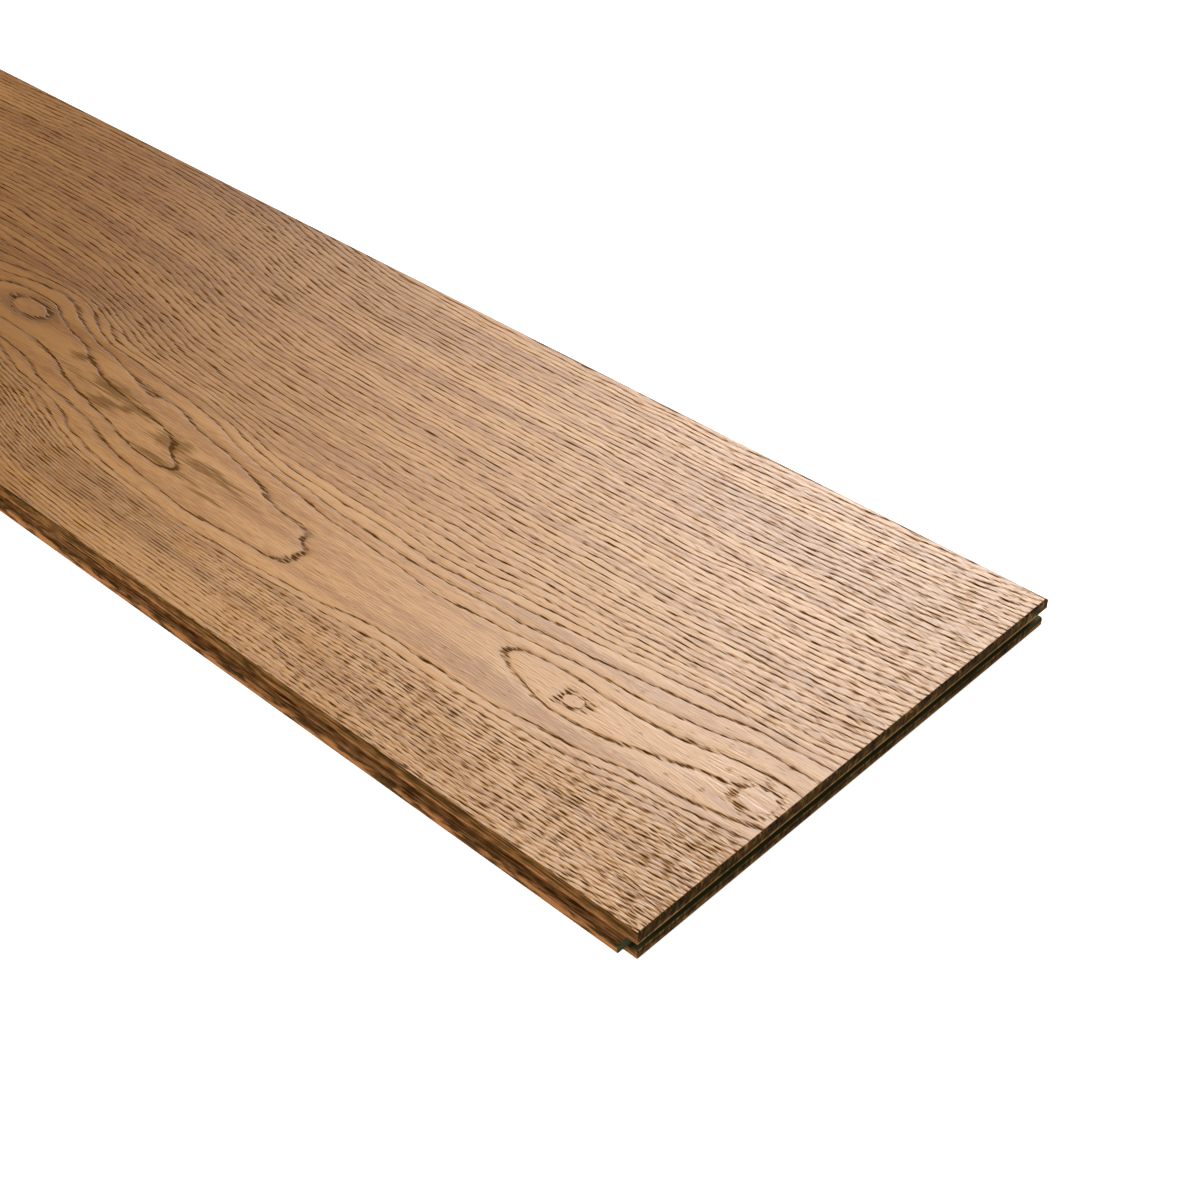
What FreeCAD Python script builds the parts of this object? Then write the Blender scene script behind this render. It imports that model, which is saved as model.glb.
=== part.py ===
"""Wide oak floorboard, planed on four sides, with tongue and groove all round.

Frame: X runs along the board, Y across it, Z up. The board lies flat on its underside,
and the origin is under the middle of its bounding box, so every height is measured
from the underside. The grooved short end is at +X and the tongued short end at -X.
The grooved long edge is at +Y and the tongued long edge at -Y.
"""
import FreeCAD, Part
import os
import Sketcher

# Sizes of the board in millimetres
SIZES = {
    "board_length": 2200.0,
    "board_width": 250.0,
    "board_thickness": 14.0,
    "bevel_width": 0.8,
    "bevel_depth": 0.5,
    "upper_lip": 4.9,
    "groove_height": 4.7,
    "long_groove_depth": 5.3,
    "end_groove_depth": 5.0,
    "side_clearance": 0.1,
    "tip_clearance": 0.4,
    "lower_recess": 0.8,
    "lead_in_width": 0.3,
    "lead_in_height": 1.2,
    "arris_width": 0.4,
    "nose_radius": 0.9,
}

NODE_NAME = "floorboard"
SHEET_NAME = "Sizes"
CUTTER_OVERRUN = 2.0
EDGE_TOLERANCE = 0.001


class Span:
    """A length that is a sum of shares of the board's sizes, plus a fixed number."""

    def __init__(self, shares=None, fixed=0.0):
        self.shares = dict(shares or {})
        self.fixed = fixed

    def __add__(self, other):
        total = dict(self.shares)
        for name, share in other.shares.items():
            total[name] = total.get(name, 0.0) + share
        return Span(total, self.fixed + other.fixed)

    def __neg__(self):
        return Span({name: -share for name, share in self.shares.items()}, -self.fixed)

    def __sub__(self, other):
        return self + (-other)

    def half(self):
        """Return half of this length."""
        return Span({name: share / 2 for name, share in self.shares.items()}, self.fixed / 2)

    def value(self):
        """Return the length in millimetres."""
        return self.fixed + sum(share * SIZES[name] for name, share in self.shares.items())

    def text(self):
        """Return the length as an expression on the sheet of sizes."""
        terms = [f"({share} * {SHEET_NAME}.{name})" for name, share in self.shares.items()]
        return " + ".join(terms + [f"({self.fixed})"])


def size(name):
    """Return one of the board's sizes as a Span."""
    return Span({name: 1.0})


ZERO = Span()
OVERRUN = Span(fixed=CUTTER_OVERRUN)

# Heights above the underside that the joint shares on all four edges
TOP = size("board_thickness")
BEVEL_FOOT = TOP - size("bevel_depth")
GROOVE_CEILING = TOP - size("upper_lip")
GROOVE_FLOOR = GROOVE_CEILING - size("groove_height")
TONGUE_TOP = GROOVE_CEILING - size("side_clearance")
TONGUE_UNDERSIDE = GROOVE_FLOOR + size("side_clearance")
LEAD_IN_FOOT = GROOVE_FLOOR - size("lead_in_height")
ARRIS = size("arris_width")

# Half the face, measured to where two boards meet, and how far each tongue reaches past it
HALF_WIDTH = size("board_width").half()
HALF_LENGTH = size("board_length").half()
LONG_TONGUE_REACH = size("long_groove_depth") - size("tip_clearance")
END_TONGUE_REACH = size("end_groove_depth") - size("tip_clearance")


def make_sheet(document):
    """Write the driving sizes to a sheet, each with its name as alias.

    Returns:
        The sheet object.
    """
    sheet = document.addObject("Spreadsheet::Sheet", SHEET_NAME)
    for row, (name, number) in enumerate(SIZES.items(), start=1):
        sheet.set(f"A{row}", name)
        sheet.set(f"B{row}", str(number))
        sheet.setAlias(f"B{row}", name)
    document.recompute()
    return sheet


def origin_plane(body, role):
    """Return one of the body's own origin planes, such as YZ_Plane."""
    for feature in body.Origin.OriginFeatures:
        if feature.Role == role:
            return feature
    raise LookupError(role)


def draw_loop(sketch, corners):
    """Draw a closed outline whose corners are held to the sheet of sizes.

    Args:
        sketch: the sketch to draw in.
        corners: pairs of Span, the place of each corner from the sketch's origin.
    """
    first = sketch.GeometryCount
    points = [FreeCAD.Vector(across.value(), up.value(), 0) for across, up in corners]
    count = len(points)
    for index in range(count):
        line = Part.LineSegment(points[index], points[(index + 1) % count])
        sketch.addGeometry(line, False)
    for index in range(count):
        following = first + (index + 1) % count
        sketch.addConstraint(Sketcher.Constraint("Coincident", first + index, 2, following, 1))
    for index, corner in enumerate(corners):
        for kind, length in zip(("DistanceX", "DistanceY"), corner):
            constraint = Sketcher.Constraint(kind, -1, 1, first + index, 1, length.value())
            number = sketch.addConstraint(constraint)
            sketch.setExpression(f"Constraints[{number}]", length.text())


def make_sketch(body, name, role, loops):
    """Add a sketch on one of the body's origin planes.

    Args:
        body: the body that the sketch belongs to.
        name: the sketch's name.
        role: the origin plane's role.
        loops: closed outlines, each a list of corners.

    Returns:
        The sketch.
    """
    sketch = body.newObject("Sketcher::SketchObject", name)
    sketch.AttachmentSupport = [(origin_plane(body, role), "")]
    sketch.MapMode = "FlatFace"
    for corners in loops:
        draw_loop(sketch, corners)
    return sketch


def board_section():
    """Return the board's cross-section, from the underside round by the grooved edge."""
    groove_face = HALF_WIDTH - size("lower_recess")
    tongue_face = size("lower_recess") - HALF_WIDTH
    groove_back = HALF_WIDTH - size("long_groove_depth")
    tongue_tip = -HALF_WIDTH - LONG_TONGUE_REACH
    return [
        (tongue_face + ARRIS, ZERO),
        (groove_face - ARRIS, ZERO),
        (groove_face, ARRIS),
        (groove_face, LEAD_IN_FOOT),
        (groove_face - size("lead_in_width"), GROOVE_FLOOR),
        (groove_back, GROOVE_FLOOR),
        (groove_back, GROOVE_CEILING),
        (HALF_WIDTH, GROOVE_CEILING),
        (HALF_WIDTH, BEVEL_FOOT),
        (HALF_WIDTH - size("bevel_width"), TOP),
        (size("bevel_width") - HALF_WIDTH, TOP),
        (-HALF_WIDTH, BEVEL_FOOT),
        (-HALF_WIDTH, TONGUE_TOP),
        (tongue_tip, TONGUE_TOP),
        (tongue_tip, TONGUE_UNDERSIDE),
        (tongue_face + size("lead_in_width"), TONGUE_UNDERSIDE),
        (tongue_face, LEAD_IN_FOOT),
        (tongue_face, ARRIS),
    ]


def end_groove_cuts():
    """Return what is milled off the +X end: its groove with the set-back lower lip, and a bevel."""
    past = HALF_LENGTH + OVERRUN
    groove_back = HALF_LENGTH - size("end_groove_depth")
    lower_face = HALF_LENGTH - size("lower_recess")
    bevel_edge = HALF_LENGTH - size("bevel_width")
    groove = [
        (past, GROOVE_CEILING),
        (groove_back, GROOVE_CEILING),
        (groove_back, GROOVE_FLOOR),
        (lower_face - size("lead_in_width"), GROOVE_FLOOR),
        (lower_face, LEAD_IN_FOOT),
        (lower_face, ARRIS),
        (lower_face - ARRIS, ZERO),
        (lower_face - ARRIS, -OVERRUN),
        (past, -OVERRUN),
    ]
    bevel = [
        (bevel_edge, TOP),
        (HALF_LENGTH, BEVEL_FOOT),
        (past, BEVEL_FOOT),
        (past, TOP + OVERRUN),
        (bevel_edge, TOP + OVERRUN),
    ]
    return [groove, bevel]


def end_tongue_cuts():
    """Return what is milled off the -X end, above and below its tongue."""
    past = -HALF_LENGTH - END_TONGUE_REACH - OVERRUN
    lower_face = size("lower_recess") - HALF_LENGTH
    bevel_edge = size("bevel_width") - HALF_LENGTH
    above = [
        (bevel_edge, TOP + OVERRUN),
        (bevel_edge, TOP),
        (-HALF_LENGTH, BEVEL_FOOT),
        (-HALF_LENGTH, TONGUE_TOP),
        (past, TONGUE_TOP),
        (past, TOP + OVERRUN),
    ]
    below = [
        (past, -OVERRUN),
        (past, TONGUE_UNDERSIDE),
        (lower_face + size("lead_in_width"), TONGUE_UNDERSIDE),
        (lower_face, LEAD_IN_FOOT),
        (lower_face, ARRIS),
        (lower_face + ARRIS, ZERO),
        (lower_face + ARRIS, -OVERRUN),
    ]
    return [above, below]


def add_length_pad(body, sketch):
    """Run the cross-section along the board, from the end tongue's tip to the grooved end."""
    pad = body.newObject("PartDesign::Pad", "moulded_length")
    pad.Profile = sketch
    pad.SideType = "Two sides"
    pad.setExpression("Length", HALF_LENGTH.text())
    pad.setExpression("Length2", (HALF_LENGTH + END_TONGUE_REACH).text())
    sketch.Document.recompute()
    return pad


def add_cross_pocket(body, name, sketch):
    """Mill an outline right across the board, both ways from its middle."""
    before = body.Shape.Volume
    pocket = body.newObject("PartDesign::Pocket", name)
    pocket.Profile = sketch
    pocket.Type = "ThroughAll"
    pocket.SideType = "Symmetric"
    sketch.Document.recompute()
    if body.Shape.Volume >= before:
        raise RuntimeError(f"{name} removed nothing")
    return pocket


def nose_edges(shape):
    """Return the names of the edges along the tips of the two tongues."""
    tip_y = (-HALF_WIDTH - LONG_TONGUE_REACH).value()
    tip_x = (-HALF_LENGTH - END_TONGUE_REACH).value()
    shortest = size("board_width").half().value()
    names = []
    for number, edge in enumerate(shape.Edges, start=1):
        box = edge.BoundBox
        along_long_tip = abs(box.YMin - tip_y) + abs(box.YMax - tip_y) < EDGE_TOLERANCE
        along_end_tip = abs(box.XMin - tip_x) + abs(box.XMax - tip_x) < EDGE_TOLERANCE
        if (along_long_tip or along_end_tip) and edge.Length > shortest:
            names.append(f"Edge{number}")
    return names


def add_nose_fillet(body, base):
    """Round the tips of the tongues, so that the next board slides on."""
    fillet = body.newObject("PartDesign::Fillet", "tongue_noses")
    fillet.Base = (base, nose_edges(base.Shape))
    fillet.setExpression("Radius", size("nose_radius").text())
    body.Document.recompute()
    return fillet


def make_floorboard(document):
    """Model the board as one body: a moulded length, its two milled ends and rounded tongues.

    Returns:
        The body.
    """
    body = document.addObject("PartDesign::Body", NODE_NAME)
    body.Label = NODE_NAME
    section = make_sketch(body, "board_section", "YZ_Plane", [board_section()])
    add_length_pad(body, section)
    groove_end = make_sketch(body, "groove_end", "XZ_Plane", end_groove_cuts())
    add_cross_pocket(body, "grooved_end", groove_end)
    tongue_end = make_sketch(body, "tongue_end", "XZ_Plane", end_tongue_cuts())
    milled = add_cross_pocket(body, "tongued_end", tongue_end)
    body.Tip = add_nose_fillet(body, milled)
    # The tongues reach out on two sides, so the face's middle lies off the box's middle
    body.setExpression("Placement.Base.x", END_TONGUE_REACH.half().text())
    body.setExpression("Placement.Base.y", LONG_TONGUE_REACH.half().text())
    document.recompute()
    return body


def check_document(document):
    """Raise an error if any object of the document failed to build."""
    for item in document.Objects:
        if "Invalid" in item.State or "Error" in item.State:
            raise RuntimeError(f"{item.Name}: {item.State}")


def check_shape(body):
    """Raise an error unless the body is one valid solid of the sizes asked for."""
    shape = body.Shape
    if shape.isNull() or not shape.isValid() or len(shape.Solids) != 1:
        raise RuntimeError(f"{body.Label} is not one valid solid")
    box = shape.BoundBox
    wanted = (
        (size("board_length") + END_TONGUE_REACH).value(),
        (size("board_width") + LONG_TONGUE_REACH).value(),
        TOP.value(),
    )
    for found, asked in zip((box.XLength, box.YLength, box.ZLength), wanted):
        if abs(found - asked) > EDGE_TOLERANCE:
            raise RuntimeError(f"{body.Label} measures {found}, not {asked}")


def main():
    """Build the board and write it out."""
    os.makedirs("parts", exist_ok=True)
    document = FreeCAD.newDocument("WideFloorboard")
    make_sheet(document)
    board = make_floorboard(document)
    check_document(document)
    check_shape(board)
    board.Shape.exportStep(f"parts/{board.Label}.step")
    litres = board.Shape.Volume / 1e6
    print(f"{board.Label}: {litres:.3f} litres, {len(board.Shape.Faces)} faces")


main()
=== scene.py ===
"""Dresses one wide oak floorboard and sets it on a pale studio floor.

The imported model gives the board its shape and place. This file lays a fine grid over its face,
presses the brushed grain into it, and gives each surface a wood finish of its own.
"""

import logging
import math
from dataclasses import dataclass, field
from enum import Enum
from functools import partial

import bpy
import numpy as np
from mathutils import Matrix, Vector


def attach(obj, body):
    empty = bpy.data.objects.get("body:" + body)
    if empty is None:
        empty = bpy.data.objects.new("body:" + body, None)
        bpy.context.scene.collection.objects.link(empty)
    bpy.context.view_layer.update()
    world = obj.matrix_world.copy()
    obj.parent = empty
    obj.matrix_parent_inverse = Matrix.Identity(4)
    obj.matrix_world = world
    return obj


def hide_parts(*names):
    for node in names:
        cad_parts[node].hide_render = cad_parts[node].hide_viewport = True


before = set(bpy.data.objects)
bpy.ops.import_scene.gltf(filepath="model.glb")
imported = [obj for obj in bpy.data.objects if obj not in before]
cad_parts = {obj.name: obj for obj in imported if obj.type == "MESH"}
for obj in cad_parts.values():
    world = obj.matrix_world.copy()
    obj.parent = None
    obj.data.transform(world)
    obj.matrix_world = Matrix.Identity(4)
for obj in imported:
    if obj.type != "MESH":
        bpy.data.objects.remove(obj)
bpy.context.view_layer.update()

LOG = logging.getLogger("floorboard")

MM = 0.001
WOOD_IOR = 1.5
# The end groove's walls are painted one dark greenish band: painted shade in the recess.
GROOVE_PAINTED_SHADE = "#4B4D31"
# Planes that bound the end groove's walls, and the tongue's nose from below and above: each gives
# an axis, the side of the plane that counts, and the plane's place in mm.
END_GROOVE = (
    (0, "GREATER_THAN", 1097.2), (0, "LESS_THAN", 1101.6),
    (2, "GREATER_THAN", 4.35), (2, "LESS_THAN", 9.12),
)
TONGUE = ((2, "GREATER_THAN", 4.45), (2, "LESS_THAN", 9.05))
WHITE = (1.0, 1.0, 1.0, 1.0)
# Where the face ends at the grooved short end, and over the long tongue
FACE_END = 1101.5 * MM
FACE_EDGE = -121.75 * MM

Piece = bpy.types.Object
Tree = bpy.types.NodeTree
Socket = bpy.types.NodeSocket
Sockets = dict[str | int, object] | tuple[object, ...]
Stops = tuple[tuple[float, float | str], ...]
Planes = tuple[tuple[int, str, float], ...]
Triple = tuple[float, float, float]


class Surface(Enum):
    """The surfaces of the board, each with the material slot that it takes."""

    FACE = 0
    LONG_EDGE = 1
    SHORT_END = 2
    BACK = 3


def linear(hex_colour: str) -> tuple[float, float, float, float]:
    """Turns an sRGB hex colour into the linear colour that a shader takes.

    Args:
        hex_colour: six hex digits after a hash sign.

    Returns:
        Linear red, green and blue, and an alpha of 1.
    """
    digits = hex_colour.lstrip("#")
    parts = [int(digits[i:i + 2], 16) / 255.0 for i in (0, 2, 4)]
    curve = [c / 12.92 if c <= 0.04045 else ((c + 0.055) / 1.055) ** 2.4 for c in parts]
    return (curve[0], curve[1], curve[2], 1.0)


def fill_ramp(ramp: bpy.types.ColorRamp, stops: Stops) -> None:
    """Gives a colour ramp its stops.

    Args:
        ramp: the ramp, with the two stops that it starts with.
        stops: places in rising order, each with a grey level or a hex colour.
    """
    shades = [linear(shade) if isinstance(shade, str) else (shade, shade, shade, 1.0) for _, shade in stops]
    for index in (0, -1):
        ramp.elements[index].position = stops[index][0]
        ramp.elements[index].color = shades[index]
    for (place, _), shade in zip(stops[1:-1], shades[1:-1]):
        ramp.elements.new(place).color = shade


def add_node(
    tree: Tree, kind: str, sockets: Sockets = (), output: str | int = 0, **settings: object
) -> Socket | None:
    """Adds one shader node, sets its properties, and fills or links its sockets.

    Args:
        tree: the node tree that gets the node.
        kind: the node's type name, less the word ShaderNode.
        sockets: values or output sockets, in the order of the inputs or by their name or number.
        output: the output that is wanted.
        settings: the node's properties, and a colour ramp's stops.

    Returns:
        The wanted output, or None from a node without outputs.
    """
    node = tree.nodes.new("ShaderNode" + kind)
    for name, value in settings.items():
        if name == "stops":
            fill_ramp(node.color_ramp, value)
        else:
            setattr(node, name, value)
    filled = sockets if isinstance(sockets, dict) else dict(enumerate(sockets))
    for key, value in filled.items():
        if isinstance(value, Socket):
            tree.links.new(value, node.inputs[key])
        else:
            node.inputs[key].default_value = value
    return node.outputs[output] if node.outputs else None


def fresh_tree(name: str) -> tuple[bpy.types.Material, Tree]:
    """Makes an empty node material.

    Args:
        name: the material's name.

    Returns:
        The material and its node tree.
    """
    material = bpy.data.materials.new(name)
    material.use_nodes = True
    material.node_tree.nodes.clear()
    return material, material.node_tree


def close_tree(tree: Tree, sockets: dict[str, object]) -> None:
    """Ends a node tree in one wood shader that takes these sockets."""
    shader = add_node(tree, "BsdfPrincipled", {"IOR": WOOD_IOR, **sockets})
    add_node(tree, "OutputMaterial", {"Surface": shader})


def grained_noise(tree: Tree, at: Socket, size: Triple, detail: float, slant: float = 0.0) -> Socket:
    """Lays a stretched noise, as wood grain is.

    Args:
        tree: the node tree.
        at: the coordinates, in metres.
        size: one wave of the noise along x, y and z, in mm. A z of 0 makes the noise flat.
        detail: how many finer waves lie on it.
        slant: how far the waves lean over in the y and z plane, in degrees.

    Returns:
        The noise, about 0.5.
    """
    flat = size[2] == 0.0
    scale = (size[0] * MM, size[1] * MM, 1.0 if flat else size[2] * MM)
    turn = (math.radians(slant), 0.0, 0.0)
    place = add_node(tree, "Mapping", {"Vector": at, "Rotation": turn, "Scale": scale}, vector_type="TEXTURE")
    return add_node(tree, "TexNoise", {"Vector": place, "Scale": 1.0, "Detail": detail, "Roughness": 0.55},
                    "Fac", noise_dimensions="2D" if flat else "3D")


def height_tint(tree: Tree, height: Socket, stops: tuple[tuple[float, float], ...]) -> Socket:
    """Makes a light or dark tint that changes with height on an edge, such as painted highlights and shade.

    Args:
        tree: the node tree.
        height: the height above the floor, in metres.
        stops: heights in mm with the tint's strength, where 0.5 leaves the wood as it is.

    Returns:
        The tint, from 0 to 1.
    """
    thickness = 14.0
    share = add_node(tree, "MapRange", {"Value": height, "From Min": 0.0, "From Max": thickness * MM})
    shares = tuple((place / thickness, level) for place, level in stops)
    return add_node(tree, "ValToRGB", {"Fac": share}, "Color", stops=shares)


def between(tree: Tree, parts: list[Socket], planes: Planes) -> Socket:
    """Finds the places that lie on the right side of every one of these planes.

    Args:
        tree: the node tree.
        parts: the outputs that give x, y and z in metres.
        planes: each plane's axis, the side that counts, and its place in mm.

    Returns:
        1 where every plane is kept to, 0 elsewhere.
    """
    found = 1.0
    for axis, side, place in planes:
        test = add_node(tree, "Math", (parts[axis], place * MM), operation=side)
        found = add_node(tree, "Math", (found, test), operation="MULTIPLY")
    return found


@dataclass(frozen=True)
class RingLine:
    """One growth ring as it runs over the face, read as points back from the grooved end.

    Attributes:
        ring: the ring's number, counted outward from the heart.
        points: places in mm, as (back from the grooved end, across from the near edge).
    """

    ring: float
    points: tuple[tuple[float, float], ...]


@dataclass(frozen=True)
class Knot:
    """A small pin knot in the face.

    Attributes:
        back: how far its middle lies from the grooved end, in mm.
        across: how far its middle lies from the near edge, in mm.
        half_length: half its length, in mm.
        half_width: half its width, in mm.
        darkness: how far the pores of its rim open, up to 1.
        ragged: how far a noise roughens its rim, as a share of its size.
    """

    back: float
    across: float
    half_length: float
    half_width: float
    darkness: float
    ragged: float


@dataclass(frozen=True)
class SmokyPatch:
    """A patch of dark, brushed heartwood.

    Attributes:
        back: how far its middle lies from the grooved end, in mm.
        across: how far its middle lies from the near edge, in mm.
        half_length: how far it reaches along the board, in mm.
        half_width: how far it reaches across the board, in mm.
        strength: how dark its middle is, up to 1.
    """

    back: float
    across: float
    half_length: float
    half_width: float
    strength: float


RING_LINES = (
    RingLine(0, ((400, 79), (375, 77), (358, 76), (349, 66.5), (335, 61.5), (352, 57.7), (372, 58.7),
                 (389, 62), (404, 65), (418, 67.2), (439, 73.5), (453, 77), (465, 79.5), (478, 80.5),
                 (491, 82), (503, 81.5))),
    RingLine(0, ((418, 82), (436, 86), (451, 93.9), (460, 96), (474, 99.8), (485, 105.4), (502, 109),
                 (521, 106.8), (535, 102.6))),
    RingLine(1, ((138, 70), (130, 76.4), (121, 79.6), (108, 81.5), (93, 81.1), (79, 79), (65, 80.3),
                 (53, 81.8), (40, 85.4), (29, 88.5), (12, 90), (1, 89.4))),
    RingLine(1, ((129, 67.5), (118, 64.3), (108, 61), (98, 60), (89, 60.7), (79, 63), (70, 65.2),
                 (61, 67), (53, 69.4), (44, 73.9), (34, 75.5), (23, 76))),
    RingLine(1, ((251, 62), (258, 68.3), (268, 72.2), (279, 75), (291, 77), (302, 79.8), (331, 83.7),
                 (358, 88.5), (385, 93.2), (410, 94.6), (432, 96), (448, 101), (462, 104.4),
                 (474, 109.3), (485, 113.2), (502, 116), (521, 113.2), (537, 110))),
    RingLine(1, ((249, 51.4), (256, 48.9), (271, 46.9), (302, 44.7), (340, 45.4), (369, 49.7),
                 (383, 52.4), (404, 57.4), (432, 60.2), (448, 64.7), (462, 67.9), (485, 70))),
    RingLine(2, ((400, 101), (379, 100.3), (365, 98.4), (352, 95.2), (338, 92.1), (310, 87.9),
                 (279, 84.7), (251, 83), (225, 81.6), (200, 80.3), (169, 80.5), (143, 82.8),
                 (129, 84.7), (99, 87.3), (78, 88.8), (56, 91.7), (40, 95.3), (29, 97.6), (1, 99))),
    RingLine(2, ((474, 63.7), (439, 57.1), (418, 55.7), (400, 48.9), (382, 45), (345, 40.2),
                 (315, 38.5), (268, 39), (232, 41.2), (200, 44.8), (168, 48), (149, 48.6), (136, 46.8),
                 (106, 48.4), (78, 52), (47, 57), (16, 61.8), (0, 66.9))),
    RingLine(3, ((200, 86.4), (164, 88.7), (129, 91.7), (104, 95.3), (85, 97.2), (62, 100.4),
                 (32, 105.4), (1, 107.7))),
    RingLine(3, ((400, 44.1), (372, 38.8), (344, 36.7), (288, 34.9), (232, 37.1), (200, 40.3),
                 (144, 42.8), (118, 42.9), (85, 46.5), (60, 50.9), (32, 54.7), (1, 58.6))),
    RingLine(4, ((200, 93.6), (168, 94.5), (134, 99.4), (103, 102.6), (72, 105.8), (41, 109.2),
                 (1, 111.9))),
    RingLine(4, ((200, 36.9), (149, 39.4), (98, 41), (60, 46.5), (34, 50.9), (9, 53.5))),
    RingLine(5, ((200, 98.7), (162, 101), (123, 105.5), (85, 109), (49, 111.9), (1, 116.6))),
    RingLine(1.5, ((150, 69), (165, 66), (185, 63), (205, 61), (225, 60), (236, 60), (165, 56),
                   (200, 54), (120, 55), (98, 55.5), (75, 58), (50, 63), (25, 68))),
    RingLine(0.6, ((125, 71.5), (110, 71), (98, 70), (84, 71.5), (60, 74), (40, 79.5), (20, 83))),
    RingLine(0.6, ((265, 59), (285, 60), (310, 61))),
    RingLine(-0.5, ((385, 69), (370, 67), (355, 63), (415, 74), (440, 81), (470, 88), (500, 96))),
)

KNOTS = (
    Knot(back=98, across=70, half_length=7.6, half_width=4.8, darkness=0.84, ragged=0.6),
    Knot(back=11, across=77, half_length=10.0, half_width=7.4, darkness=0.74, ragged=0.35),
    Knot(back=502, across=97, half_length=15.0, half_width=6.4, darkness=1.0, ragged=0.25),
)

SMOKY_PATCHES = (
    SmokyPatch(back=148, across=70, half_length=14, half_width=2.2, strength=0.25),
    SmokyPatch(back=245, across=62, half_length=12, half_width=6, strength=0.2),
    SmokyPatch(back=218, across=67, half_length=20, half_width=1.8, strength=0.4),
    SmokyPatch(back=236, across=54, half_length=15, half_width=2.2, strength=0.5),
    SmokyPatch(back=352, across=72, half_length=17, half_width=6.5, strength=1.0),
    SmokyPatch(back=322, across=68.5, half_length=30, half_width=4.6, strength=0.85),
    SmokyPatch(back=294, across=66, half_length=26, half_width=3.6, strength=0.6),
    SmokyPatch(back=344, across=59, half_length=32, half_width=2.6, strength=0.85),
    SmokyPatch(back=310, across=56, half_length=22, half_width=2.4, strength=0.75),
    SmokyPatch(back=402, across=70, half_length=15, half_width=5.5, strength=0.95),
    SmokyPatch(back=408, across=80, half_length=22, half_width=5.5, strength=0.95),
    SmokyPatch(back=383, across=78, half_length=18, half_width=4.0, strength=0.9),
    SmokyPatch(back=390, across=74, half_length=6, half_width=3.5, strength=0.9),
    SmokyPatch(back=444, across=87, half_length=9, half_width=4.5, strength=0.9),
    SmokyPatch(back=428, across=77, half_length=30, half_width=5.0, strength=0.6),
    SmokyPatch(back=462, across=79, half_length=16, half_width=2.5, strength=0.6),
    SmokyPatch(back=560, across=122, half_length=30, half_width=5, strength=0.4),
)


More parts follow.
